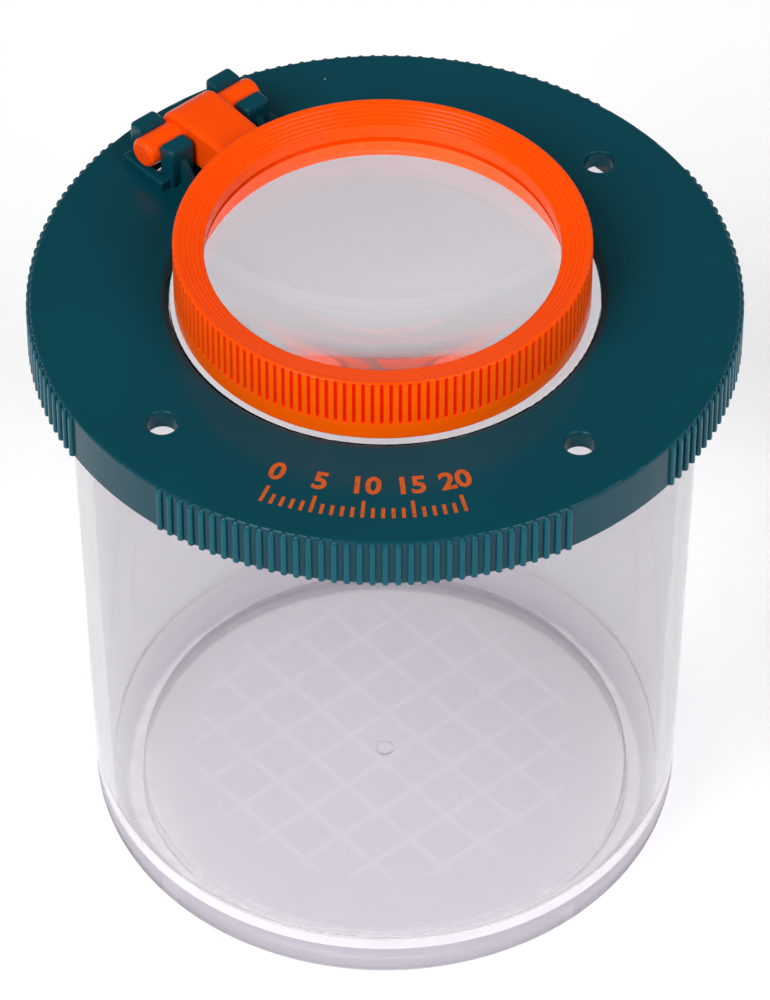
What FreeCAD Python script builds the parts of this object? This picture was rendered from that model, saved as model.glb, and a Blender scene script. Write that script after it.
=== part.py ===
import FreeCAD, Part
import math
import os

# Bug viewer: a clear jar with a measuring grid in its floor, a lid with a fixed lens,
# and a second lens in a knurled frame that swings over the first on a snap hinge.
# Millimetres. The origin is the centre of the jar's foot, +Z is up, and the hinge is at +Y.

os.makedirs("parts", exist_ok=True)

# Jar
jar_height = 66.8
jar_rim_radius = 31.55
jar_base_radius = 30.2
jar_wall = 1.6
jar_floor = 1.9
jar_corner_radius = 2.9
jar_inner_corner_radius = 1.3
jar_rim_rounding = 0.4
foot_height = 2.7
foot_width = 1.8
foot_rounding = 0.3
gate_radius = 0.9
gate_height = 0.3

# Measuring grid on the jar's floor
grid_pitch = 5.0
grid_radius = 20.0
grid_ridge_foot = 0.8
grid_ridge_crest = 0.3
grid_ridge_height = 0.1
grid_root = 0.1

# Lid
lid_plate = 2.0
lid_skirt_drop = 5.4
lid_skirt_wall = 1.2
lid_skirt_gap = 0.97
lid_edge_rounding = 0.35
collar_wall = 1.1
collar_drop = 4.4
jar_fit_clearance = 0.08
air_hole_radius = 1.5
air_hole_circle = 28.4
air_hole_rounding = 0.3
air_hole_angles = (0.0, 180.0, 270.0)

# Grip ribs on the lid's skirt, in four groups between the air holes and the hinge
rib_width = 0.66
rib_proud = 0.35
rib_top_drop = 0.04
rib_top_rounding = 0.6
rib_side_rounding = 0.28
rib_root = 0.4
rib_pitch_deg = 2.0
ribs_in_group = 35
rib_group_angles = (45.0, 135.0, 225.0, 315.0)

# Fixed lens: it is pushed up into the lid's opening from below, and its flange snaps over a lip
opening_radius = 21.25
opening_edge_rounding = 1.0
lid_lens_recess = 0.5
lid_lens_clearance = 0.06
lid_lens_rim_width = 3.4
lid_lens_crown = 1.1
lid_lens_edge_rounding = 0.15
lens_flange_width = 1.2
lens_flange_thickness = 1.0
lens_boss_wall = 1.2
lens_lip_grip = 0.25
lens_lip_height = 0.6

# Orange lens frame
frame_radius = 20.5
frame_bore_radius = 17.45
frame_height = 7.45
frame_rest_gap = 0.2
frame_dish_drop = 1.1
frame_edge_rounding = 0.3
frame_foot_rounding = 0.25
frame_bore_rounding = 0.2
lens_groove_depth = 0.85
lens_groove_top_drop = 1.5
swing_lens_clearance = 0.05
swing_lens_rim_thickness = 1.5
swing_lens_crown = 1.5

# Flutes with domed ends round the frame, above a plain band
flute_radius = 0.21
flute_depth = 0.26
flute_pitch_deg = 2.5
flute_band = 1.9
flute_top_drop = 0.2

# Fine rings turned into the frame's top face
ring_mark_count = 5
ring_mark_pitch = 0.45
ring_mark_width = 0.2
ring_mark_depth = 0.08
ring_mark_edge = 0.88

# Hinge: pin and tapered arm on the frame, clips on the lid
pin_radius = 1.55
pin_length = 14.6
pin_end_rounding = 0.5
pin_distance = 28.2
pin_rise = 3.1
pin_clearance = 0.05
arm_width = 5.9
arm_root_width = 5.2
arm_cover = 0.8
arm_edge_rounding = 0.6
clip_width = 3.0
clip_arm_gap = 0.45
clip_rest_gap = 0.15
clip_post_thickness = 1.7
clip_post_rise = 1.5
clip_lip_grip = 0.25
clip_mouth_slope = 0.1
clip_post_rounding = 0.6
clip_side_rounding = 0.4
clip_window_relief = 1.1
clip_foot_wall = 1.15
clip_foot_height = 1.2
clip_foot_inset = 0.3
clip_foot_end_gap = 0.05
clip_foot_rounding = 0.3
gusset_thickness = 0.8
gusset_reach = 1.8
gusset_height = 3.0

# Places that follow from the sizes above
lid_top = jar_height + lid_plate
collar_inner_radius = jar_rim_radius + jar_fit_clearance
collar_outer_radius = collar_inner_radius + collar_wall
lid_radius = collar_outer_radius + lid_skirt_gap + lid_skirt_wall
lid_lens_radius = opening_radius - lid_lens_clearance
lid_lens_top = lid_top - lid_lens_recess
lens_flange_radius = lid_lens_radius + lens_flange_width
lens_flange_bottom = jar_height - lens_flange_thickness
frame_bottom = lid_lens_top + frame_rest_gap
frame_top = frame_bottom + frame_height
frame_inner_top = frame_top - frame_dish_drop
lens_groove_radius = frame_bore_radius + lens_groove_depth
lens_groove_top = frame_inner_top - lens_groove_top_drop
lens_groove_bottom = lens_groove_top - swing_lens_rim_thickness
pin_z = lid_top + pin_rise
clip_gap = pin_radius + pin_clearance
clip_side_x = arm_width / 2 + clip_arm_gap
clip_end_x = clip_side_x + clip_width
clip_foot_x = clip_end_x + clip_foot_end_gap
frame_side_shift = clip_arm_gap - clip_rest_gap
origin = FreeCAD.Vector(0, 0, 0)
up = FreeCAD.Vector(0, 0, 1)
along_pin = FreeCAD.Vector(1, 0, 0)


def vec(x, y, z):
    return FreeCAD.Vector(x, y, z)


def turned(section):
    """Solid of revolution about Z from a closed section of (radius, z) corners."""
    corners = [vec(radius, 0, z) for radius, z in section]
    wire = Part.makePolygon(corners + [corners[0]])
    return Part.Face(wire).revolve(origin, up, 360)


def ring_edges(solid, radius, z):
    """Round edges of the solid with this radius about Z, at this height."""
    found = []
    for edge in solid.Edges:
        if edge.Degenerated or not isinstance(edge.Curve, Part.Circle):
            continue
        curve = edge.Curve
        centred = math.hypot(curve.Center.x, curve.Center.y) < 0.001
        if centred and abs(curve.Radius - radius) < 0.001 and abs(curve.Center.z - z) < 0.001:
            found.append(edge)
    return found


def around(solid, angle):
    copy = solid.copy()
    copy.rotate(origin, up, angle)
    return copy


def export(name, solid):
    solid.exportStep("parts/" + name + ".step")


def lens(radius, bottom, rim_thickness, rim_width, crown):
    """Lens with a flat rim and a crown on both faces."""
    crown_radius = radius - rim_width
    top = bottom + rim_thickness

    def crown_arc(edge_z, rise):
        apex = vec(0, 0, edge_z + rise)
        edge_point = vec(crown_radius, 0, edge_z)
        sphere_radius = (crown_radius ** 2 + rise ** 2) / (2 * abs(rise))
        centre_z = edge_z + rise - math.copysign(sphere_radius, rise)
        half = math.asin(crown_radius / sphere_radius) / 2
        lift = math.copysign(sphere_radius * math.cos(half), rise)
        middle = vec(sphere_radius * math.sin(half), 0, centre_z + lift)
        return Part.Arc(apex, middle, edge_point).toShape()

    outline = [(crown_radius, bottom), (radius, bottom), (radius, top), (crown_radius, top)]
    corners = [vec(distance, 0, z) for distance, z in outline]
    edges = [Part.makeLine(a, b) for a, b in zip(corners, corners[1:])]
    axis_line = Part.makeLine(vec(0, 0, top + crown), vec(0, 0, bottom - crown))
    edges += [crown_arc(top, crown), axis_line, crown_arc(bottom, -crown)]
    wire = Part.Wire(Part.__sortEdges__(edges))
    return Part.Face(wire).revolve(origin, up, 360)


def ridge_section(middle):
    """Section of a grid ridge: distances from the grid's centre line and heights."""
    floor_top = foot_height + jar_floor
    foot = grid_ridge_foot / 2
    crest = grid_ridge_crest / 2
    return [
        (middle - foot, floor_top - grid_root),
        (middle + foot, floor_top - grid_root),
        (middle + foot, floor_top),
        (middle + crest, floor_top + grid_ridge_height),
        (middle - crest, floor_top + grid_ridge_height),
        (middle - foot, floor_top),
    ]


def make_grid():
    """Raised ridges of the measuring grid, cut to a circle, with a ridge round them."""
    ridges = []
    offset = -(math.ceil(grid_radius / grid_pitch) - 0.5) * grid_pitch
    while offset < grid_radius:
        corners = [vec(-grid_radius, distance, z) for distance, z in ridge_section(offset)]
        face = Part.Face(Part.makePolygon(corners + [corners[0]]))
        along_x = face.extrude(vec(2 * grid_radius, 0, 0))
        ridges += [along_x, around(along_x, 90)]
        offset += grid_pitch
    field = Part.makeCylinder(grid_radius, jar_floor + foot_height + grid_ridge_height)
    lines = ridges[0].multiFuse(ridges[1:]).common(field)
    return lines.fuse(turned(ridge_section(grid_radius))).removeSplitter()


def make_container():
    draft = (jar_rim_radius - jar_base_radius) / jar_height
    floor_top = foot_height + jar_floor
    inner_base_radius = jar_base_radius - jar_wall + draft * floor_top
    inner_rim_radius = jar_rim_radius - jar_wall
    foot_inner_radius = jar_base_radius - jar_corner_radius - foot_width
    jar = turned([
        (0, foot_height),
        (foot_inner_radius, foot_height),
        (foot_inner_radius, 0),
        (jar_base_radius, 0),
        (jar_rim_radius, jar_height),
        (inner_rim_radius, jar_height),
        (inner_base_radius, floor_top),
        (0, floor_top),
    ])
    jar = jar.makeFillet(jar_corner_radius, ring_edges(jar, jar_base_radius, 0))
    jar = jar.makeFillet(jar_inner_corner_radius, ring_edges(jar, inner_base_radius, floor_top))
    rim = ring_edges(jar, jar_rim_radius, jar_height) + ring_edges(jar, inner_rim_radius, jar_height)
    jar = jar.makeFillet(jar_rim_rounding, rim)
    foot = ring_edges(jar, foot_inner_radius, 0) + ring_edges(jar, foot_inner_radius, foot_height)
    jar = jar.makeFillet(foot_rounding, foot)
    gate = Part.makeCylinder(gate_radius, gate_height + grid_root, vec(0, 0, foot_height - gate_height))
    return jar.multiFuse([make_grid(), gate]).removeSplitter()


def make_grip_ribs():
    """Rounded ribs that stand proud of the skirt and bend over the lid's top edge."""
    root = lid_radius - rib_root
    crest = lid_radius + rib_proud
    top = lid_top - rib_top_drop
    bottom = lid_top - lid_skirt_drop
    bend_radius = crest - rib_top_rounding
    bend_z = top - rib_top_rounding
    middle = rib_top_rounding * math.sqrt(0.5)

    def at(radius, z):
        return vec(radius, -rib_width / 2, z)

    edges = [
        Part.makeLine(at(root, bottom), at(crest, bottom)),
        Part.makeLine(at(crest, bottom), at(crest, bend_z)),
        Part.Arc(at(crest, bend_z), at(bend_radius + middle, bend_z + middle), at(bend_radius, top)).toShape(),
        Part.makeLine(at(bend_radius, top), at(root, top)),
        Part.makeLine(at(root, top), at(root, bottom)),
    ]
    rib = Part.Face(Part.Wire(edges)).extrude(vec(0, rib_width, 0))
    soft_edges = []
    for edge in rib.Edges:
        box = edge.BoundBox
        if box.YLength < 0.001 and box.XMax > root + 0.001 and box.ZMax > bottom + 0.001:
            soft_edges.append(edge)
    rib = rib.makeFillet(rib_side_rounding, soft_edges)
    first = -(ribs_in_group - 1) / 2 * rib_pitch_deg
    ribs = []
    for group_angle in rib_group_angles:
        for index in range(ribs_in_group):
            ribs.append(around(rib, group_angle + first + index * rib_pitch_deg))
    return ribs


def clip_post(side):
    """One post of a clip, side 1 beyond the pin and -1 before it, hooked over the pin."""
    inner = clip_gap
    outer = clip_gap + clip_post_thickness
    top = clip_gap + clip_post_rise - pin_radius
    lip = clip_gap - clip_lip_grip
    lip_rise = math.sqrt(clip_gap ** 2 - lip ** 2)
    bend = math.atan2(lip_rise, lip) / 2
    mouth = inner + (top - lip_rise) * clip_mouth_slope
    soft = clip_post_rounding
    middle = soft * (1 - math.sqrt(0.5))

    def at(distance, rise):
        return vec(0, side * distance, rise)

    root = -pin_rise - lid_plate / 2
    edges = [
        Part.makeLine(at(outer, root), at(outer, top - soft)),
        Part.Arc(at(outer, top - soft), at(outer - middle, top - middle), at(outer - soft, top)).toShape(),
        Part.makeLine(at(outer - soft, top), at(mouth, top)),
        Part.makeLine(at(mouth, top), at(lip, lip_rise)),
        Part.Arc(
            at(lip, lip_rise), at(inner * math.cos(bend), inner * math.sin(bend)), at(inner, 0)
        ).toShape(),
        Part.makeLine(at(inner, 0), at(inner, root)),
        Part.makeLine(at(inner, root), at(outer, root)),
    ]
    face = Part.Face(Part.Wire(edges))
    post = face.extrude(vec(clip_width, 0, 0))
    soft_edges = []
    for edge in post.Edges:
        box = edge.BoundBox
        on_side_face = box.XLength < 0.001
        reach = min(side * box.YMin, side * box.YMax)
        high = box.ZMin > root - 0.001 and box.ZMax > root + 0.001
        if on_side_face and high and reach > mouth - 0.001:
            soft_edges.append(edge)
    post = post.makeFillet(clip_side_rounding, soft_edges)
    post.translate(vec(clip_side_x, pin_distance, pin_z))
    return post


def make_clip_foot():
    """Low wall that runs from post to post round the end of the window."""
    root = lid_plate / 2
    inside = clip_end_x - clip_post_thickness / 2
    reach = clip_gap + clip_post_thickness - clip_foot_inset
    outer_x = clip_foot_x + clip_foot_wall
    top = lid_top + clip_foot_height
    corners = [
        (inside, -reach),
        (outer_x, -reach),
        (outer_x, reach),
        (inside, reach),
        (inside, reach - clip_foot_wall),
        (clip_foot_x, reach - clip_foot_wall),
        (clip_foot_x, clip_foot_wall - reach),
        (inside, clip_foot_wall - reach),
    ]
    points = [vec(x, pin_distance + y, lid_top - root) for x, y in corners]
    foot = Part.Face(Part.makePolygon(points + [points[0]])).extrude(vec(0, 0, root + clip_foot_height))
    soft_edges = []
    for edge in foot.Edges:
        box = edge.BoundBox
        along_top = box.ZMin > top - 0.001 and box.XMax > inside + 0.001
        outer_corner = box.ZLength > 0.001 and box.XMin > outer_x - 0.001
        if along_top or outer_corner:
            soft_edges.append(edge)
    return foot.makeFillet(clip_foot_rounding, soft_edges)


def make_clip():
    """Clip on the +X side: two posts, the low wall round their foot, and a gusset."""
    base = lid_top - lid_plate / 2
    post_outer = clip_gap + clip_post_thickness
    gusset_x = clip_side_x + (clip_width - gusset_thickness) / 2
    face_y = pin_distance - post_outer
    gusset_wire = Part.makePolygon([
        vec(gusset_x, face_y + clip_post_thickness / 2, base),
        vec(gusset_x, face_y - gusset_reach, base),
        vec(gusset_x, face_y - gusset_reach, lid_top + clip_foot_height / 2),
        vec(gusset_x, face_y, lid_top + gusset_height),
        vec(gusset_x, face_y + clip_post_thickness / 2, lid_top + gusset_height),
        vec(gusset_x, face_y + clip_post_thickness / 2, base),
    ])
    gusset = Part.Face(gusset_wire).extrude(vec(gusset_thickness, 0, 0))
    return clip_post(1).multiFuse([clip_post(-1), make_clip_foot(), gusset])


def clip_window():
    """Opening through the plate under the pin, and the relief below it under the posts."""
    bottom = jar_height - lid_plate
    length = clip_foot_x - clip_side_x
    window = Part.makeBox(
        length, 2 * clip_gap, 3 * lid_plate, vec(clip_side_x, pin_distance - clip_gap, bottom)
    )
    half = clip_gap + clip_window_relief
    relief = Part.makeBox(
        length, 2 * half, 1.5 * lid_plate, vec(clip_side_x, pin_distance - half, bottom)
    )
    return window.fuse(relief)


def make_lid():
    skirt_bottom = lid_top - lid_skirt_drop
    skirt_inner = lid_radius - lid_skirt_wall
    collar_bottom = lid_top - collar_drop
    boss_inner = lens_flange_radius + lid_lens_clearance
    boss_outer = boss_inner + lens_boss_wall
    lip_radius = lens_flange_radius - lens_lip_grip
    lip_top = lens_flange_bottom - lid_lens_clearance
    lip_bottom = lip_top - lens_lip_height
    lid = turned([
        (opening_radius, jar_height),
        (opening_radius, lid_top),
        (lid_radius, lid_top),
        (lid_radius, skirt_bottom),
        (skirt_inner, skirt_bottom),
        (skirt_inner, jar_height),
        (collar_outer_radius, jar_height),
        (collar_outer_radius, collar_bottom),
        (collar_inner_radius, collar_bottom),
        (collar_inner_radius, jar_height),
        (boss_outer, jar_height),
        (boss_outer, lip_bottom),
        (boss_inner, lip_bottom),
        (lip_radius, lip_top - lens_lip_height / 2),
        (lip_radius, lip_top),
        (boss_inner, lip_top),
        (boss_inner, jar_height),
    ])
    lid = lid.makeFillet(lid_edge_rounding, ring_edges(lid, lid_radius, lid_top))
    lid = lid.makeFillet(opening_edge_rounding, ring_edges(lid, opening_radius, lid_top))
    hole_edges = []
    for angle in air_hole_angles:
        x = air_hole_circle * math.cos(math.radians(angle))
        y = air_hole_circle * math.sin(math.radians(angle))
        lid = lid.cut(Part.makeCylinder(air_hole_radius, 3 * lid_plate, vec(x, y, lid_top - 2 * lid_plate)))
    for edge in lid.Edges:
        curve = edge.Curve
        if isinstance(curve, Part.Circle) and abs(curve.Radius - air_hole_radius) < 0.001:
            if abs(curve.Center.z - lid_top) < 0.001:
                hole_edges.append(edge)
    lid = lid.makeFillet(air_hole_rounding, hole_edges)
    clip = make_clip()
    window = clip_window()
    mirror_plane = vec(1, 0, 0)
    lid = lid.multiFuse([clip, clip.mirror(origin, mirror_plane)] + make_grip_ribs())
    return lid.cut([window, window.mirror(origin, mirror_plane)]).removeSplitter()


def make_lid_lens():
    thickness = lid_lens_top - lens_flange_bottom
    glass = lens(lid_lens_radius, lens_flange_bottom, thickness, lid_lens_rim_width, lid_lens_crown)
    glass = glass.makeFillet(lid_lens_edge_rounding, ring_edges(glass, lid_lens_radius, lid_lens_top))
    inner = lid_lens_radius - lid_lens_rim_width / 2
    flange = turned([
        (inner, lens_flange_bottom),
        (lens_flange_radius, lens_flange_bottom),
        (lens_flange_radius, jar_height),
        (inner, jar_height),
    ])
    return glass.fuse(flange).removeSplitter()


def make_frame_ring():
    """Knurled ring with a dished top, ring marks and the groove that holds the lens."""
    slope = frame_dish_drop / (frame_radius - frame_bore_radius)
    section = [
        (lens_groove_radius, lens_groove_top),
        (lens_groove_radius, lens_groove_bottom),
        (frame_bore_radius, lens_groove_bottom),
        (frame_bore_radius, frame_bottom),
        (frame_radius, frame_bottom),
        (frame_radius, frame_top),
    ]
    for index in range(ring_mark_count):
        middle = frame_radius - ring_mark_edge - index * ring_mark_pitch
        for radius, depth in ((middle + ring_mark_width / 2, 0), (middle, ring_mark_depth),
                              (middle - ring_mark_width / 2, 0)):
            section.append((radius, frame_top - slope * (frame_radius - radius) - depth))
    section += [(frame_bore_radius, frame_inner_top), (frame_bore_radius, lens_groove_top)]
    ring = turned(section)
    ring = ring.makeFillet(frame_edge_rounding, ring_edges(ring, frame_radius, frame_top))
    ring = ring.makeFillet(frame_foot_rounding, ring_edges(ring, frame_radius, frame_bottom))
    ring = ring.makeFillet(frame_bore_rounding, ring_edges(ring, frame_bore_radius, frame_inner_top))
    flute_centre = frame_radius + flute_radius - flute_depth
    low = frame_bottom + flute_band + flute_radius
    high = frame_top - flute_top_drop - flute_radius
    flute = Part.makeCylinder(flute_radius, high - low, vec(flute_centre, 0, low))
    for z in (low, high):
        flute = flute.fuse(Part.makeSphere(flute_radius, vec(flute_centre, 0, z)))
    count = round(360 / flute_pitch_deg)
    arm_half_angle = math.degrees(math.asin((arm_width / 2 + flute_radius) / frame_radius))
    flutes = []
    for index in range(count):
        angle = 90 + (index + 0.5) * 360 / count
        if arm_half_angle < angle - 90 < 360 - arm_half_angle:
            flutes.append(around(flute, angle))
    return ring.cut(flutes)


def make_arm():
    """Arm from the ring to the pin: a barrel round the pin, narrower where it leaves the ring."""
    start = (lens_groove_radius + frame_radius) / 2 - pin_distance
    barrel = pin_radius + arm_cover

    def at(y, z):
        return vec(-arm_width / 2, y, z)

    edges = [
        Part.makeLine(at(0, barrel), at(start, barrel)),
        Part.makeLine(at(start, barrel), at(start, -barrel)),
        Part.makeLine(at(start, -barrel), at(0, -barrel)),
        Part.Arc(at(0, -barrel), at(barrel, 0), at(0, barrel)).toShape(),
    ]
    side = Part.Face(Part.Wire(edges)).extrude(vec(arm_width, 0, 0))
    plan = [
        vec(-arm_root_width / 2, start, -barrel),
        vec(arm_root_width / 2, start, -barrel),
        vec(arm_width / 2, barrel, -barrel),
        vec(-arm_width / 2, barrel, -barrel),
    ]
    taper = Part.Face(Part.makePolygon(plan + [plan[0]])).extrude(vec(0, 0, 2 * barrel))
    arm = side.common(taper)
    soft_edges = []
    for edge in arm.Edges:
        box = edge.BoundBox
        if box.XLength < arm_root_width / 2 and box.YLength > barrel / 2:
            soft_edges.append(edge)
    arm = arm.makeFillet(arm_edge_rounding, soft_edges)
    arm.translate(vec(0, pin_distance, pin_z))
    return arm


def make_pin():
    pin = Part.makeCylinder(pin_radius, pin_length, vec(-pin_length / 2, pin_distance, pin_z), along_pin)
    ends = [edge for edge in pin.Edges if isinstance(edge.Curve, Part.Circle)]
    return pin.makeFillet(pin_end_rounding, ends)


container = make_container()
lid = make_lid()
lid_lens = make_lid_lens()
lens_frame = make_frame_ring().multiFuse([make_arm(), make_pin()]).removeSplitter()
swing_lens_radius = lens_groove_radius - swing_lens_clearance
swing_lens_rim_width = swing_lens_radius - frame_bore_radius
swing_lens = lens(
    swing_lens_radius,
    lens_groove_bottom,
    swing_lens_rim_thickness,
    swing_lens_rim_width,
    swing_lens_crown,
)

# The frame rests near the -X end of its side play between the clips
for swinging in (lens_frame, swing_lens):
    swinging.translate(vec(-frame_side_shift, 0, 0))

for name, solid in (
    ("container", container),
    ("lid", lid),
    ("lid_lens", lid_lens),
    ("lens_frame", lens_frame),
    ("swing_lens", swing_lens),
):
    export(name, solid)
    box = solid.BoundBox
    print(name, "solids", len(solid.Solids), "valid", solid.isValid(), "volume", round(solid.Volume, 2))
    print("   from", [round(value, 2) for value in (box.XMin, box.YMin, box.ZMin)])
    print("   to  ", [round(value, 2) for value in (box.XMax, box.YMax, box.ZMax)])
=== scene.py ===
# %% [markdown]
# # A bug viewer
# A clear jar with a measuring grid moulded into its floor, a teal lid with a fixed lens, and
# a second lens in an orange knurled frame that swings over the first. The engineering model
# already has every piece at its real size, so this lesson is about finish: what each plastic
# is, how light passes through it, and what the press, the mould and a little dust leave on it.

# %% Load the engineering model
import math
import bmesh
import bpy
from mathutils import Matrix, Vector


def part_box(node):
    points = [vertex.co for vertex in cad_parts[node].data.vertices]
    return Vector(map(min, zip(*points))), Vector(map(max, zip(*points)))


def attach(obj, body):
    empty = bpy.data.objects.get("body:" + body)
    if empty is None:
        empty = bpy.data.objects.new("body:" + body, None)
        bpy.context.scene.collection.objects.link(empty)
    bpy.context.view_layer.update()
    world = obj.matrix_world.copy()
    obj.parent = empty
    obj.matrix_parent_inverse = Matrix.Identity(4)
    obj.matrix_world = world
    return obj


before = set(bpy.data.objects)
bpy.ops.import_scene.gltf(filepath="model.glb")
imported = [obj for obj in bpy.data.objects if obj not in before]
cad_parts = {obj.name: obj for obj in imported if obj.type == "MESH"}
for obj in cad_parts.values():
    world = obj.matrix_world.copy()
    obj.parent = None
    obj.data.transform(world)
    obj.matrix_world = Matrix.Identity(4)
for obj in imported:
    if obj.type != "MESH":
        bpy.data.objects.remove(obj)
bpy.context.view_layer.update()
MM = 0.001
MICRON = 1e-6
print("nodes", sorted(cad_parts))

# %% Sizes taken from the model
jar_low, jar_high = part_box("container")
lid_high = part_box("lid")[1]
ring_low, ring_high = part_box("lens_frame")
glass_low, glass_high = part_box("swing_lens")
lid_plate = 2.0 * MM
rib_proud = 0.35 * MM
flute_depth = 0.26 * MM
lid_top = jar_high.z + lid_plate
lid_radius = lid_high.x
frame_axis_x = (glass_low.x + glass_high.x) / 2
frame_radius = (ring_high.x - ring_low.x) / 2
print("lid top at", round(lid_top / MM, 2), "mm, lid radius", round(lid_radius / MM, 2), "mm")
print("frame radius", round(frame_radius / MM, 2), "mm")
print("frame axis at x", round(frame_axis_x / MM, 2), "mm")

# %% [markdown]
# ## The camera
# The photograph was taken from well back with a long lens, so the jar's sides hardly
# converge. A distance, two angles and a point to aim at say that in four plain numbers.

# %% Camera
camera_azimuth = math.radians(-41.06)
camera_elevation = math.radians(45.13)
camera_distance = 0.6594
camera_aim = Vector((0, 0, 0.0395))
camera_data = bpy.data.cameras.new("camera")
camera_data.lens = 234.4
camera_data.sensor_width = 36
camera_data.clip_start = 0.05
camera_data.clip_end = 20
camera = bpy.data.objects.new("camera", camera_data)
toward_camera = Vector((
    math.sin(camera_azimuth) * math.cos(camera_elevation),
    -math.cos(camera_azimuth) * math.cos(camera_elevation),
    math.sin(camera_elevation),
))
camera.location = camera_aim + toward_camera * camera_distance
camera.rotation_euler = (-toward_camera).to_track_quat("-Z", "Y").to_euler()
bpy.context.scene.collection.objects.link(camera)
bpy.context.scene.camera = camera
bpy.context.scene.view_settings.view_transform = "Standard"

# %% [markdown]
# ## Small helpers for shader trees
# A node tree reads best when each line makes one node with its values already in place.


# %% Node helpers
def add(tree, kind, settings=None, **sockets):
    """One node with its own settings and its unlinked input values."""
    node = tree.nodes.new(kind)
    for name, value in (settings or {}).items():
        setattr(node, name, value)
    for name, value in sockets.items():
        node.inputs[name.replace("_", " ")].default_value = value
    return node


def join(tree, source, target):
    tree.links.new(source, target)


def sum_up(tree, operation, first, second):
    """A Math node whose two inputs are sockets or plain numbers."""
    node = add(tree, "ShaderNodeMath", {"operation": operation})
    for socket, value in zip(node.inputs, (first, second)):
        if isinstance(value, (int, float)):
            socket.default_value = value
        else:
            join(tree, value, socket)
    return node.outputs[0]


def shader_group(name, inputs, outputs):
    """An empty node group with named inputs (kind, value) and named outputs."""
    group = bpy.data.node_groups.new(name, "ShaderNodeTree")
    for label, (kind, value) in inputs.items():
        socket = group.interface.new_socket(label, in_out="INPUT", socket_type=kind)
        socket.default_value = value
    for label, kind in outputs.items():
        group.interface.new_socket(label, in_out="OUTPUT", socket_type=kind)
    return group, group.nodes.new("NodeGroupInput"), group.nodes.new("NodeGroupOutput")


def place(tree, group, **values):
    node = tree.nodes.new("ShaderNodeGroup")
    node.node_tree = group
    for label, value in values.items():
        node.inputs[label.replace("_", " ")].default_value = value
    return node


def new_material(name):
    """A material with a Principled shader joined to its output."""
    material = bpy.data.materials.new(name)
    material.use_nodes = True
    tree = material.node_tree
    tree.nodes.clear()
    shader = add(tree, "ShaderNodeBsdfPrincipled")
    output = add(tree, "ShaderNodeOutputMaterial")
    join(tree, shader.outputs[0], output.inputs["Surface"])
    return material, tree, shader, output


def srgb(red, green, blue):
    """A colour given as it looks on screen, 0 to 255, turned into linear light."""
    def linear(value):
        value /= 255
        return value / 12.92 if value <= 0.04045 else ((value + 0.055) / 1.055) ** 2.4
    return (linear(red), linear(green), linear(blue), 1)


# %% [markdown]
# ## Moulded skin
# Polished moulds still leave a very faint orange peel, and the melt leaves clouds of slightly
# different gloss. One group makes both, so that all four plastics can share it.


# %% Moulded skin group
cloud_scale = 60.0


def make_moulded_skin():
    group, inside, out = shader_group(
        "moulded_skin",
        {
            "Peel Size": ("NodeSocketFloat", 1.2),
            "Streak Stretch": ("NodeSocketFloat", 1.0),
        },
        {"Height": "NodeSocketFloat", "Cloud": "NodeSocketFloat"},
    )
    where = add(group, "ShaderNodeTexCoord")
    stretched = add(group, "ShaderNodeCombineXYZ", X=1.0, Y=1.0)
    join(group, inside.outputs["Streak Stretch"], stretched.inputs["Z"])
    scaled = add(group, "ShaderNodeVectorMath", {"operation": "MULTIPLY"})
    join(group, where.outputs["Object"], scaled.inputs[0])
    join(group, stretched.outputs[0], scaled.inputs[1])
    per_metre = sum_up(group, "DIVIDE", 1 / MM, inside.outputs["Peel Size"])
    peel = add(group, "ShaderNodeTexNoise", Detail=2.0, Roughness=0.5)
    join(group, scaled.outputs[0], peel.inputs["Vector"])
    join(group, per_metre, peel.inputs["Scale"])
    join(group, peel.outputs[0], out.inputs["Height"])
    cloud = add(group, "ShaderNodeTexNoise", Scale=cloud_scale, Detail=3.0, Roughness=0.55)
    join(group, where.outputs["Object"], cloud.inputs["Vector"])
    join(group, cloud.outputs[0], out.inputs["Cloud"])
    return group


moulded_skin = make_moulded_skin()
print("group", moulded_skin.name, "outputs", [s.name for s in moulded_skin.interface.items_tree])

# %% [markdown]
# ## Grip and lint masks
# The crests of the lid's ribs and of the frame's knurl get a painted highlight, a brighter
# colour, and the hollows between them get painted shade, a darker colour. Both sit on circles, so
# the distance from the circle's axis tells crest from hollow. Lint needs a second mask: small
# cells, some of them with a speck of its own size, and only above a height, so that it lies on
# top and not under the edges.


# %% Grip mask group
grip_margin_inside = 0.1 * MM
grip_margin_outside = 0.2 * MM


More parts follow.
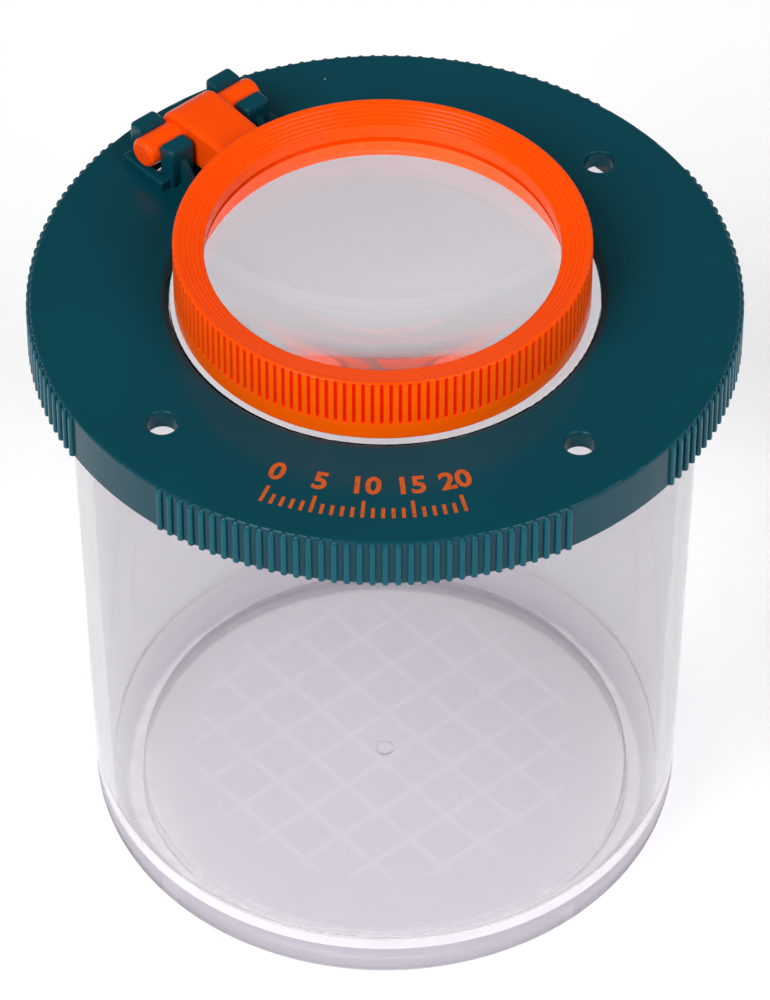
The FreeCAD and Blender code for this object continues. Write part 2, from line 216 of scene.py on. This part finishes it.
def make_grip_mask():
    group, inside, out = shader_group(
        "grip_mask",
        {
            "Axis X": ("NodeSocketFloat", 0.0),
            "Hollow Radius": ("NodeSocketFloat", 0.0),
            "Crest Radius": ("NodeSocketFloat", 1.0),
            "Below": ("NodeSocketFloat", 1.0),
        },
        {"Band": "NodeSocketFloat", "Crest": "NodeSocketFloat"},
    )
    where = add(group, "ShaderNodeTexCoord")
    split = add(group, "ShaderNodeSeparateXYZ")
    join(group, where.outputs["Object"], split.inputs[0])
    across = sum_up(group, "SUBTRACT", split.outputs["X"], inside.outputs["Axis X"])
    across = sum_up(group, "MULTIPLY", across, across)
    along = sum_up(group, "MULTIPLY", split.outputs["Y"], split.outputs["Y"])
    radius = sum_up(group, "SQRT", sum_up(group, "ADD", across, along), 0.0)
    outside = sum_up(group, "SUBTRACT", inside.outputs["Hollow Radius"], grip_margin_inside)
    outside = sum_up(group, "GREATER_THAN", radius, outside)
    within = sum_up(group, "ADD", inside.outputs["Crest Radius"], grip_margin_outside)
    within = sum_up(group, "LESS_THAN", radius, within)
    low = sum_up(group, "LESS_THAN", split.outputs["Z"], inside.outputs["Below"])
    band = sum_up(group, "MULTIPLY", sum_up(group, "MULTIPLY", outside, within), low)
    join(group, band, out.inputs["Band"])
    ramp = add(group, "ShaderNodeMapRange", {"interpolation_type": "SMOOTHSTEP"})
    join(group, radius, ramp.inputs["Value"])
    join(group, inside.outputs["Hollow Radius"], ramp.inputs["From Min"])
    join(group, inside.outputs["Crest Radius"], ramp.inputs["From Max"])
    join(group, ramp.outputs["Result"], out.inputs["Crest"])
    return group


grip_mask = make_grip_mask()


# %% Lint mask group
lint_bend = 0.6 * MM
lint_bend_scale = 900.0


def make_lint_mask():
    group, inside, out = shader_group(
        "lint_mask",
        {
            "Cell Size": ("NodeSocketFloat", 3.0),
            "Speck Size": ("NodeSocketFloat", 0.05),
            "Share": ("NodeSocketFloat", 0.3),
            "Above": ("NodeSocketFloat", 0.0),
        },
        {"Mask": "NodeSocketFloat"},
    )
    where = add(group, "ShaderNodeTexCoord")
    per_metre = sum_up(group, "DIVIDE", 1 / MM, inside.outputs["Cell Size"])
    bend = add(group, "ShaderNodeTexNoise", Scale=lint_bend_scale, Detail=1.0)
    join(group, where.outputs["Object"], bend.inputs["Vector"])
    shift = add(group, "ShaderNodeVectorMath", {"operation": "SCALE"}, Scale=lint_bend)
    join(group, bend.outputs["Color"], shift.inputs[0])
    wavy = add(group, "ShaderNodeVectorMath", {"operation": "ADD"})
    join(group, where.outputs["Object"], wavy.inputs[0])
    join(group, shift.outputs[0], wavy.inputs[1])
    cells = add(group, "ShaderNodeTexVoronoi", {"feature": "F1"})
    join(group, wavy.outputs[0], cells.inputs["Vector"])
    join(group, per_metre, cells.inputs["Scale"])
    chance = add(group, "ShaderNodeSeparateColor")
    join(group, cells.outputs["Color"], chance.inputs[0])
    kept = sum_up(group, "LESS_THAN", chance.outputs[0], inside.outputs["Share"])
    reach = sum_up(group, "MULTIPLY", chance.outputs[1], inside.outputs["Speck Size"])
    speck = sum_up(group, "LESS_THAN", cells.outputs["Distance"], reach)
    split = add(group, "ShaderNodeSeparateXYZ")
    join(group, where.outputs["Object"], split.inputs[0])
    high = sum_up(group, "GREATER_THAN", split.outputs["Z"], inside.outputs["Above"])
    mask = sum_up(group, "MULTIPLY", sum_up(group, "MULTIPLY", kept, speck), high)
    join(group, mask, out.inputs["Mask"])
    return group


lint_mask = make_lint_mask()
print("groups", grip_mask.name, lint_mask.name)

# %% [markdown]
# ## Teal and orange plastic
# Both are opaque and coloured through, so the material is a deep base colour under a clear,
# slightly soft gloss. The colour wanders a little with the melt, the crests of the grip carry a
# painted highlight and the hollows painted shade, and a few specks of lint lie on top.


# %% Colour blends and zones
def tint(tree, factor, first, second):
    """Blend two colours by a mask; each colour is a value or a socket."""
    mix = add(tree, "ShaderNodeMix", {"data_type": "RGBA", "blend_type": "MIX"})
    join(tree, factor, mix.inputs["Factor"])
    for socket_name, colour in (("A", first), ("B", second)):
        socket = next(s for s in mix.inputs if s.name == socket_name and s.type == "RGBA")
        if isinstance(colour, tuple):
            socket.default_value = colour
        else:
            join(tree, colour, socket)
    return next(s for s in mix.outputs if s.type == "RGBA")


def zone_mask(tree, low, high):
    """A mask that is 1 where the piece's own height is between two values."""
    where = add(tree, "ShaderNodeTexCoord")
    split = add(tree, "ShaderNodeSeparateXYZ")
    join(tree, where.outputs["Object"], split.inputs[0])
    above = sum_up(tree, "GREATER_THAN", split.outputs["Z"], low)
    below = sum_up(tree, "LESS_THAN", split.outputs["Z"], high)
    return sum_up(tree, "MULTIPLY", above, below)


def far_mask(tree, radius):
    """A mask that is 1 farther from the upright axis than a radius."""
    where = add(tree, "ShaderNodeTexCoord")
    split = add(tree, "ShaderNodeSeparateXYZ")
    join(tree, where.outputs["Object"], split.inputs[0])
    across = sum_up(tree, "MULTIPLY", split.outputs["X"], split.outputs["X"])
    along = sum_up(tree, "MULTIPLY", split.outputs["Y"], split.outputs["Y"])
    return sum_up(tree, "GREATER_THAN", sum_up(tree, "ADD", across, along), radius * radius)


# %% Teal and orange plastic
lint_grey = srgb(186, 188, 184)
skin_relief = 2 * MICRON
polystyrene_ior = 1.5
red_reach = (1.0, 0.2, 0.05)
reach_scale = 0.8 * MM


def opaque_plastic(name, colours, grip_sizes, lint_height, roughness, specular, depth):
    """Colours are the body's two tones, then the grip's hollows in painted shade and its crests
    with a painted highlight.
    """
    material, tree, shader, _ = new_material(name)
    skin = place(tree, moulded_skin, Peel_Size=1.4)
    axis_x, hollow_radius, crest_radius, grip_top = grip_sizes
    grip = place(
        tree, grip_mask, Axis_X=axis_x, Hollow_Radius=hollow_radius, Crest_Radius=crest_radius,
        Below=grip_top,
    )
    lint = place(tree, lint_mask, Cell_Size=4.0, Speck_Size=0.032, Share=0.2, Above=lint_height)
    body = tint(tree, skin.outputs["Cloud"], colours[0], colours[1])
    # Painted shade in the grip's hollows and a painted highlight on its crests.
    grip_shade_and_highlight = tint(tree, grip.outputs["Crest"], colours[2], colours[3])
    moulded = tint(tree, grip.outputs["Band"], body, grip_shade_and_highlight)
    dusted = tint(tree, lint.outputs["Mask"], moulded, lint_grey)
    join(tree, dusted, shader.inputs["Base Color"])
    gloss = add(tree, "ShaderNodeMapRange", To_Min=roughness - 0.04, To_Max=roughness + 0.06)
    join(tree, skin.outputs["Cloud"], gloss.inputs["Value"])
    dull = sum_up(tree, "MULTIPLY", lint.outputs["Mask"], 0.5)
    join(tree, sum_up(tree, "ADD", gloss.outputs["Result"], dull), shader.inputs["Roughness"])
    bump = add(tree, "ShaderNodeBump", Strength=1.0, Distance=skin_relief)
    join(tree, skin.outputs["Height"], bump.inputs["Height"])
    join(tree, bump.outputs[0], shader.inputs["Normal"])
    shader.inputs["IOR"].default_value = polystyrene_ior
    shader.inputs["Specular IOR Level"].default_value = specular
    shader.inputs["Subsurface Weight"].default_value = depth
    shader.inputs["Subsurface Radius"].default_value = red_reach
    shader.inputs["Subsurface Scale"].default_value = reach_scale
    return material


teal = opaque_plastic(
    "teal_plastic",
    # The third colour is painted shade in the rib hollows, the fourth a painted highlight on the
    # rib crests.
    (srgb(4, 70, 82), srgb(2, 60, 71), srgb(12, 66, 79), srgb(0, 84, 100)),
    (0.0, lid_radius, lid_radius + rib_proud, lid_top),
    lint_height=lid_top - 0.3 * MM,
    roughness=0.2,
    specular=0.16,
    depth=0.0,
)
orange = opaque_plastic(
    "orange_plastic",
    # The third colour is painted shade in the knurl's hollows, the fourth a painted highlight on
    # its crests.
    (srgb(255, 82, 0), srgb(255, 74, 0), srgb(248, 40, 0), srgb(255, 98, 0)),
    (frame_axis_x, frame_radius - flute_depth, frame_radius, ring_high.z - 0.35 * MM),
    lint_height=ring_high.z - 1.4 * MM,
    roughness=0.26,
    specular=0.12,
    depth=0.25,
)

# %% [markdown]
# The frame's wall is thinnest behind the groove that holds the lens, and daylight shines
# through it there as a bright red line. A path tracer would need very many samples for it, so
# the groove gets a little red light of its own, picked out by its radius and height. Sampling
# the whole frame as a lamp for so little light would be slow, so that is switched off.


# %% Light through the thin wall of the groove
groove_red = (0.8, 0.0, 0.0, 1)
groove_clearance = 0.05 * MM
groove_half_height = 0.9 * MM


def light_the_groove(material, groove_radius, low, high):
    tree = material.node_tree
    shader = next(node for node in tree.nodes if node.type == "BSDF_PRINCIPLED")
    ring = place(
        tree, grip_mask, Axis_X=frame_axis_x, Hollow_Radius=groove_radius,
        Crest_Radius=groove_radius, Below=high,
    )
    mask = sum_up(tree, "MULTIPLY", ring.outputs["Band"], zone_mask(tree, low, high))
    glow = tint(tree, mask, (0, 0, 0, 1), groove_red)
    join(tree, glow, shader.inputs["Emission Color"])
    shader.inputs["Emission Strength"].default_value = 1.0
    material.cycles.emission_sampling = "NONE"


groove_radius = (glass_high.x - glass_low.x) / 2 + groove_clearance
groove_middle = (glass_high.z + glass_low.z) / 2
light_the_groove(
    orange, groove_radius, groove_middle - groove_half_height, groove_middle + groove_half_height,
)

# %% [markdown]
# ## Clear plastic
# Crystal polystyrene bends light and takes a little of it at each face. A path tracer shows
# every face of such a closed body as a sharp, dark line, so the jar bends light less here than
# the plastic does, and its tint is set by zones: the wall, the floor, the ridges of the
# measuring grid, and the rounded foot where light enters it from outside. The foot's tint is
# much darker than the rest and is painted shade, so that the base looks dim from outside. A
# lamp's light goes straight through instead of making caustics, which a path tracer finds too
# slowly: Light Path's shadow ray picks a plain Transparent shader for that. The jar is drawn up
# out of the mould, so its faint waves are long and upright, and a lens has none that the eye can
# find.


# %% Measuring grid mask group
def make_grid_mask():
    group, inside, out = shader_group(
        "grid_mask",
        {
            "Pitch": ("NodeSocketFloat", 5.0 * MM),
            "Line Width": ("NodeSocketFloat", 0.6 * MM),
            "Field Radius": ("NodeSocketFloat", 20.0 * MM),
            "Low": ("NodeSocketFloat", 0.0),
            "High": ("NodeSocketFloat", 1.0),
        },
        {"Mask": "NodeSocketFloat"},
    )
    where = add(group, "ShaderNodeTexCoord")
    split = add(group, "ShaderNodeSeparateXYZ")
    join(group, where.outputs["Object"], split.inputs[0])
    half_pitch = sum_up(group, "MULTIPLY", inside.outputs["Pitch"], 0.5)
    distances = []
    for axis in ("X", "Y"):
        step = sum_up(group, "FLOORED_MODULO", split.outputs[axis], inside.outputs["Pitch"])
        apart = sum_up(group, "SUBTRACT", step, half_pitch)
        distances.append(sum_up(group, "ABSOLUTE", apart, 0.0))
    nearest = sum_up(group, "MINIMUM", distances[0], distances[1])
    smooth = {"interpolation_type": "SMOOTHSTEP"}
    edge = add(group, "ShaderNodeMapRange", smooth, To_Min=1.0, To_Max=0.0)
    join(group, nearest, edge.inputs["Value"])
    join(group, inside.outputs["Line Width"], edge.inputs["From Max"])
    length = add(group, "ShaderNodeVectorMath", {"operation": "LENGTH"})
    flat = add(group, "ShaderNodeCombineXYZ")
    join(group, split.outputs["X"], flat.inputs["X"])
    join(group, split.outputs["Y"], flat.inputs["Y"])
    join(group, flat.outputs[0], length.inputs[0])
    within = sum_up(group, "LESS_THAN", length.outputs["Value"], inside.outputs["Field Radius"])
    above = sum_up(group, "GREATER_THAN", split.outputs["Z"], inside.outputs["Low"])
    below = sum_up(group, "LESS_THAN", split.outputs["Z"], inside.outputs["High"])
    layer = sum_up(group, "MULTIPLY", above, below)
    lines = sum_up(group, "MULTIPLY", edge.outputs["Result"], within)
    mask = sum_up(group, "MULTIPLY", lines, layer)
    join(group, mask, out.inputs["Mask"])
    return group


grid_mask = make_grid_mask()


# %% Zones of the jar
below_jar = jar_low.z - MM
foot_round_top = jar_low.z + 2.9 * MM
foot_round_radius = 27.0 * MM
outer_wall_top = jar_low.z + 5.2 * MM
outer_wall_radius = 29.6 * MM
frosted_top = jar_low.z + 5.5 * MM
floor_bottom = jar_low.z + 2.6 * MM
floor_top = jar_low.z + 4.9 * MM
ridge_bottom = jar_low.z + 4.2 * MM
ridge_top = jar_low.z + 5.0 * MM
wall_tint = (0.753, 0.74, 0.763, 1)
floor_tint = (0.734, 0.714, 0.739, 1)
ridge_tint = (0.792, 0.777, 0.797, 1)
# Painted shade: a dark tint for the foot where it is seen from outside.
foot_shade_tint = (0.249, 0.225, 0.273, 1)
foot_roughness = 0.25


def jar_zones(tree):
    """The jar's colour from zone to zone, with painted shade on its foot, and the extra roughness
    of its foot.
    """
    floor = tint(tree, zone_mask(tree, floor_bottom, floor_top), wall_tint, floor_tint)
    round_low = zone_mask(tree, below_jar, foot_round_top)
    foot_round = sum_up(tree, "MULTIPLY", far_mask(tree, foot_round_radius), round_low)
    wall_low = zone_mask(tree, below_jar, outer_wall_top)
    outer_wall = sum_up(tree, "MULTIPLY", far_mask(tree, outer_wall_radius), wall_low)
    face = add(tree, "ShaderNodeNewGeometry")
    entering = sum_up(tree, "SUBTRACT", 1.0, face.outputs["Backfacing"])
    rim = sum_up(tree, "MULTIPLY", sum_up(tree, "MAXIMUM", foot_round, outer_wall), entering)
    # The foot gets painted shade only on faces where rays enter it from outside.
    foot_shaded = tint(tree, rim, floor, foot_shade_tint)
    ridges = place(tree, grid_mask, Low=ridge_bottom, High=ridge_top)
    colour = tint(tree, ridges.outputs["Mask"], foot_shaded, ridge_tint)
    foot = zone_mask(tree, below_jar, frosted_top)
    return colour, sum_up(tree, "MULTIPLY", foot, foot_roughness)


# %% Clear plastics
trapped_lint = srgb(120, 112, 120)


def clear_plastic(name, clear, zones, ior, shine, peel_size, stretch, relief):
    """A clear material; zones, where given, makes its colour and its extra roughness."""
    material, tree, shader, output = new_material(name)
    shader.inputs["Transmission Weight"].default_value = 1.0
    shader.inputs["IOR"].default_value = ior
    shader.inputs["Specular IOR Level"].default_value = shine
    colour, frost = zones(tree) if zones else (clear, 0.0)
    lint = place(tree, lint_mask, Cell_Size=7.0, Speck_Size=0.045, Share=0.12, Above=-1.0)
    specked = tint(tree, lint.outputs["Mask"], colour, trapped_lint)
    join(tree, specked, shader.inputs["Base Color"])
    skin = place(tree, moulded_skin, Peel_Size=peel_size, Streak_Stretch=stretch)
    gloss = add(tree, "ShaderNodeMapRange", To_Min=0.005, To_Max=0.02)
    join(tree, skin.outputs["Cloud"], gloss.inputs["Value"])
    roughness = sum_up(tree, "ADD", gloss.outputs["Result"], frost)
    join(tree, roughness, shader.inputs["Roughness"])
    bump = add(tree, "ShaderNodeBump", Strength=1.0, Distance=relief)
    join(tree, skin.outputs["Height"], bump.inputs["Height"])
    join(tree, bump.outputs[0], shader.inputs["Normal"])
    passing = add(tree, "ShaderNodeBsdfTransparent")
    once = tuple(math.sqrt(part) for part in clear[:3]) + (1,)
    passing.inputs["Color"].default_value = once
    path = add(tree, "ShaderNodeLightPath")
    mix = add(tree, "ShaderNodeMixShader")
    join(tree, path.outputs["Is Shadow Ray"], mix.inputs[0])
    join(tree, shader.outputs[0], mix.inputs[1])
    join(tree, passing.outputs[0], mix.inputs[2])
    join(tree, mix.outputs[0], output.inputs["Surface"])
    return material


jar_plastic = clear_plastic(
    "clear_plastic", wall_tint, jar_zones, ior=1.2, shine=1.0, peel_size=3.0,
    stretch=0.06, relief=4 * MICRON,
)
lens_plastic = clear_plastic(
    "lens_plastic", (0.97, 0.96, 0.97, 1), None, ior=1.5, shine=0.5, peel_size=6.0,
    stretch=1.0, relief=1 * MICRON,
)

# %% Put the plastics on the model's own pieces
finish_of = {
    "container": jar_plastic,
    "lid": teal,
    "lens_frame": orange,
    "lid_lens": lens_plastic,
    "swing_lens": lens_plastic,
}
for node_name, material in finish_of.items():
    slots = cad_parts[node_name].data.materials
    slots.clear()
    slots.append(material)
print("finished", len(finish_of), "nodes")

# %% [markdown]
# ## A printed scale
# A thin print in orange ink lies on the front of the lid. Here it is a plain curved scale,
# 20 mm long, to lay a leg or a wing against. Geometry Nodes set the tick marks on an arc, so
# the number of marks, the radius and the ink's thickness stay plain inputs, and each number
# is a text object turned into a mesh. Ink has a dull face and wears thin in spots.

# %% Sizes of the printed scale
scale_radius = 31.6 * MM
scale_length = 20
marks_per_number = 5
scale_middle = math.radians(225)
mark_step = MM / scale_radius
scale_start = scale_middle - mark_step * scale_length / 2
ink_height = 0.03 * MM
line_width = 0.36 * MM
short_mark = 1.3 * MM
long_mark = 2.2 * MM
number_size = 3.1 * MM
number_weight = 0.09 * MM
number_radius = scale_radius - long_mark - 2.0 * MM
print("scale spans", round(math.degrees(mark_step * scale_length), 1), "degrees")


# %% Orange ink
def make_ink():
    material, tree, shader, _ = new_material("orange_ink")
    where = add(tree, "ShaderNodeTexCoord")
    wear = add(tree, "ShaderNodeTexNoise", Scale=1400.0, Detail=4.0, Roughness=0.7)
    join(tree, where.outputs["Object"], wear.inputs["Vector"])
    thin = add(tree, "ShaderNodeMapRange", From_Min=0.52, From_Max=0.75)
    join(tree, wear.outputs[0], thin.inputs["Value"])
    colour = tint(tree, thin.outputs["Result"], srgb(196, 84, 20), srgb(142, 68, 34))
    join(tree, colour, shader.inputs["Base Color"])
    gloss = add(tree, "ShaderNodeMapRange", To_Min=0.45, To_Max=0.65)
    join(tree, wear.outputs[0], gloss.inputs["Value"])
    join(tree, gloss.outputs["Result"], shader.inputs["Roughness"])
    bump = add(tree, "ShaderNodeBump", Strength=0.6, Distance=4 * MICRON)
    join(tree, wear.outputs[0], bump.inputs["Height"])
    join(tree, bump.outputs[0], shader.inputs["Normal"])
    return material


orange_ink = make_ink()


# %% Tick marks by Geometry Nodes
def make_mark_tree():
    tree = bpy.data.node_groups.new("scale_marks", "GeometryNodeTree")
    tree.interface.new_socket("Geometry", in_out="OUTPUT", socket_type="NodeSocketGeometry")
    for label, kind in (
        ("Radius", "NodeSocketFloat"), ("Start Angle", "NodeSocketFloat"),
        ("Step Angle", "NodeSocketFloat"), ("Marks", "NodeSocketInt"),
        ("Marks Per Number", "NodeSocketFloat"), ("Short Mark", "NodeSocketFloat"),
        ("Long Mark", "NodeSocketFloat"), ("Line Width", "NodeSocketFloat"),
        ("Ink Height", "NodeSocketFloat"), ("Base Height", "NodeSocketFloat"),
        ("Ink", "NodeSocketMaterial"),
    ):
        tree.interface.new_socket(label, in_out="INPUT", socket_type=kind)
    given = tree.nodes.new("NodeGroupInput").outputs
    out = tree.nodes.new("NodeGroupOutput")
    count = sum_up(tree, "ADD", given["Marks"], 1)
    line = add(tree, "GeometryNodeMeshLine", {"mode": "OFFSET"})
    join(tree, count, line.inputs["Count"])
    index = add(tree, "GeometryNodeInputIndex").outputs[0]
    passed = sum_up(tree, "MULTIPLY", index, given["Step Angle"])
    angle = sum_up(tree, "ADD", passed, given["Start Angle"])
    spot = add(tree, "ShaderNodeCombineXYZ")
    for operation, axis in (("COSINE", "X"), ("SINE", "Y")):
        share = sum_up(tree, operation, angle, 0.0)
        join(tree, sum_up(tree, "MULTIPLY", share, given["Radius"]), spot.inputs[axis])
    join(tree, given["Base Height"], spot.inputs["Z"])
    placed = add(tree, "GeometryNodeSetPosition")
    join(tree, line.outputs[0], placed.inputs["Geometry"])
    join(tree, spot.outputs[0], placed.inputs["Position"])
    block = add(tree, "GeometryNodeMeshCube", Size=(1.0, 1.0, 1.0))
    inward = add(tree, "GeometryNodeTransform", Translation=(-0.5, 0.0, 0.5))
    join(tree, block.outputs["Mesh"], inward.inputs["Geometry"])
    rest = sum_up(tree, "MODULO", index, given["Marks Per Number"])
    on_number = sum_up(tree, "LESS_THAN", rest, 0.5)
    extra = sum_up(tree, "SUBTRACT", given["Long Mark"], given["Short Mark"])
    reach = sum_up(tree, "ADD", sum_up(tree, "MULTIPLY", on_number, extra), given["Short Mark"])
    size = add(tree, "ShaderNodeCombineXYZ")
    join(tree, reach, size.inputs["X"])
    join(tree, given["Line Width"], size.inputs["Y"])
    join(tree, given["Ink Height"], size.inputs["Z"])
    turn = add(tree, "ShaderNodeCombineXYZ")
    join(tree, angle, turn.inputs["Z"])
    rotation = add(tree, "FunctionNodeEulerToRotation")
    join(tree, turn.outputs[0], rotation.inputs[0])
    marks = add(tree, "GeometryNodeInstanceOnPoints")
    join(tree, placed.outputs[0], marks.inputs["Points"])
    join(tree, inward.outputs[0], marks.inputs["Instance"])
    join(tree, rotation.outputs[0], marks.inputs["Rotation"])
    join(tree, size.outputs[0], marks.inputs["Scale"])
    solid = add(tree, "GeometryNodeRealizeInstances")
    join(tree, marks.outputs[0], solid.inputs[0])
    inked = add(tree, "GeometryNodeSetMaterial")
    join(tree, solid.outputs[0], inked.inputs["Geometry"])
    join(tree, given["Ink"], inked.inputs["Material"])
    join(tree, inked.outputs[0], out.inputs[0])
    return tree


mark_tree = make_mark_tree()


# %% Turn the nodes into a plain mesh
def made_by_nodes(name, tree, values):
    """A plain mesh object from a tree, with the tree's named inputs set first."""
    holder = bpy.data.objects.new(name + "_nodes", bpy.data.meshes.new(name + "_nodes"))
    bpy.context.scene.collection.objects.link(holder)
    modifier = holder.modifiers.new("nodes", "NODES")
    modifier.node_group = tree
    for item in tree.interface.items_tree:
        if item.in_out == "INPUT":
            modifier[item.identifier] = values[item.name]
    bpy.context.view_layer.update()
    evaluated = holder.evaluated_get(bpy.context.evaluated_depsgraph_get())
    mesh = bpy.data.meshes.new_from_object(evaluated)
    bpy.data.objects.remove(holder)
    piece = bpy.data.objects.new(name, mesh)
    bpy.context.scene.collection.objects.link(piece)
    return piece


scale_marks = made_by_nodes("scale_marks", mark_tree, {
    "Radius": scale_radius,
    "Start Angle": scale_start,
    "Step Angle": mark_step,
    "Marks": scale_length,
    "Marks Per Number": float(marks_per_number),
    "Short Mark": short_mark,
    "Long Mark": long_mark,
    "Line Width": line_width,
    "Ink Height": ink_height,
    "Base Height": lid_top,
    "Ink": orange_ink,
})
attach(scale_marks, "lid")
print("scale marks", len(scale_marks.data.polygons), "faces")


# %% Numbers of the scale
def printed_number(text, angle):
    """A number that stands on the arc with its foot outwards."""
    letters = bpy.data.curves.new("number_" + text, "FONT")
    letters.body = text
    letters.size = number_size
    letters.align_x = "CENTER"
    letters.align_y = "CENTER"
    letters.extrude = ink_height / 2
    letters.offset = number_weight
    letters.resolution_u = 6
    holder = bpy.data.objects.new("number_" + text, letters)
    bpy.context.scene.collection.objects.link(holder)
    bpy.context.view_layer.update()
    graph = bpy.context.evaluated_depsgraph_get()
    mesh = bpy.data.meshes.new_from_object(holder.evaluated_get(graph))
    bpy.data.objects.remove(holder)
    across, along = math.cos(angle) * number_radius, math.sin(angle) * number_radius
    spot = Vector((across, along, lid_top + ink_height / 2))
    mesh.transform(Matrix.Translation(spot) @ Matrix.Rotation(angle + math.pi / 2, 4, "Z"))
    mesh.materials.clear()
    mesh.materials.append(orange_ink)
    return mesh


number_shape = bmesh.new()
for mark in range(0, scale_length + 1, marks_per_number):
    number_shape.from_mesh(printed_number(str(mark), scale_start + mark * mark_step))
bmesh.ops.remove_doubles(number_shape, verts=number_shape.verts, dist=1e-7)
bmesh.ops.recalc_face_normals(number_shape, faces=number_shape.faces)
number_mesh = bpy.data.meshes.new("scale_numbers")
number_shape.to_mesh(number_mesh)
number_shape.free()
number_mesh.materials.append(orange_ink)
scale_numbers = bpy.data.objects.new("scale_numbers", number_mesh)
bpy.context.scene.collection.objects.link(scale_numbers)
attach(scale_numbers, "lid")
print("scale numbers", len(number_mesh.polygons), "faces")

# %% [markdown]
# ## The stage
# A round white sweep stands in for the studio's paper. Its wall is low, so the lid's top
# mirrors the dim room above it and keeps its deep colour. The paper glows a little for the
# camera and for rays that come off or through the plastic, and not for the light it gives.

# %% Stage
sweep_radius = 3.0
sweep_bend = 0.8
sweep_height = 1.5
sweep_steps = 12
sweep_sides = 96
profile = [(0.0, 0.0), (sweep_radius - sweep_bend, 0.0)]
for step in range(1, sweep_steps + 1):
    turn = math.pi / 2 * step / sweep_steps
    out = sweep_radius - sweep_bend + sweep_bend * math.sin(turn)
    profile.append((out, sweep_bend * (1 - math.cos(turn))))
profile.append((sweep_radius, sweep_height))
sweep_mesh = bpy.data.meshes.new("sweep")
shape = bmesh.new()
edges = []
corners = [shape.verts.new((radius, 0, height)) for radius, height in profile]
for first, second in zip(corners, corners[1:]):
    edges.append(shape.edges.new((first, second)))
bmesh.ops.spin(
    shape, geom=corners + edges, cent=(0, 0, 0), axis=(0, 0, 1), angle=2 * math.pi,
    steps=sweep_sides, use_merge=True,
)
bmesh.ops.remove_doubles(shape, verts=shape.verts, dist=1e-5)
bmesh.ops.recalc_face_normals(shape, faces=shape.faces)
for face in shape.faces:
    face.smooth = True
    if face.normal.z < 0:
        face.normal_flip()
shape.to_mesh(sweep_mesh)
shape.free()
sweep = bpy.data.objects.new("sweep", sweep_mesh)
bpy.context.scene.collection.objects.link(sweep)

paper_white = (0.9, 0.9, 0.9, 1)
paper_glow = 0.2
paper, tree, shader, output = new_material("white_paper")
shader.inputs["Base Color"].default_value = paper_white
shader.inputs["Roughness"].default_value = 1.0
shader.inputs["Specular IOR Level"].default_value = 0.0
glow = add(tree, "ShaderNodeEmission", Color=(1, 1, 1, 1), Strength=paper_glow)
path = add(tree, "ShaderNodeLightPath")
seen = sum_up(tree, "MAXIMUM", path.outputs["Is Camera Ray"], path.outputs["Is Glossy Ray"])
seen = sum_up(tree, "MAXIMUM", seen, path.outputs["Is Transmission Ray"])
nothing = add(tree, "ShaderNodeEmission", Strength=0.0)
only_seen = add(tree, "ShaderNodeMixShader")
join(tree, seen, only_seen.inputs[0])
join(tree, nothing.outputs[0], only_seen.inputs[1])
join(tree, glow.outputs[0], only_seen.inputs[2])
both = add(tree, "ShaderNodeAddShader")
join(tree, shader.outputs[0], both.inputs[0])
join(tree, only_seen.outputs[0], both.inputs[1])
join(tree, both.outputs[0], output.inputs["Surface"])
sweep_mesh.materials.append(paper)

# %% Lamps and room
room_light = (0.2, 0.2, 0.205, 1)
lamp_distance = 1.6
lamp_width = 0.7
lamp_height = 1.0
room = bpy.data.worlds.new("room")
room.use_nodes = True
room.node_tree.nodes["Background"].inputs["Color"].default_value = room_light
bpy.context.scene.world = room


def softbox(name, azimuth, elevation, watts):
    """A rectangular lamp that faces the jar; its azimuth is counted from the camera."""
    lamp = bpy.data.lights.new(name, "AREA")
    lamp.shape = "RECTANGLE"
    lamp.size = lamp_width
    lamp.size_y = lamp_height
    lamp.energy = watts
    turn = camera_azimuth + math.radians(azimuth)
    lift = math.radians(elevation)
    level = math.cos(lift)
    out = Vector((math.sin(turn) * level, -math.cos(turn) * level, math.sin(lift)))
    lamp_object = bpy.data.objects.new(name, lamp)
    lamp_object.location = camera_aim + out * lamp_distance
    lamp_object.rotation_euler = (-out).to_track_quat("-Z", "Y").to_euler()
    lamp_object.visible_camera = False
    bpy.context.scene.collection.objects.link(lamp_object)


softbox("left_softbox", -40, 43, 20)
softbox("right_softbox", 46, 40, 12)
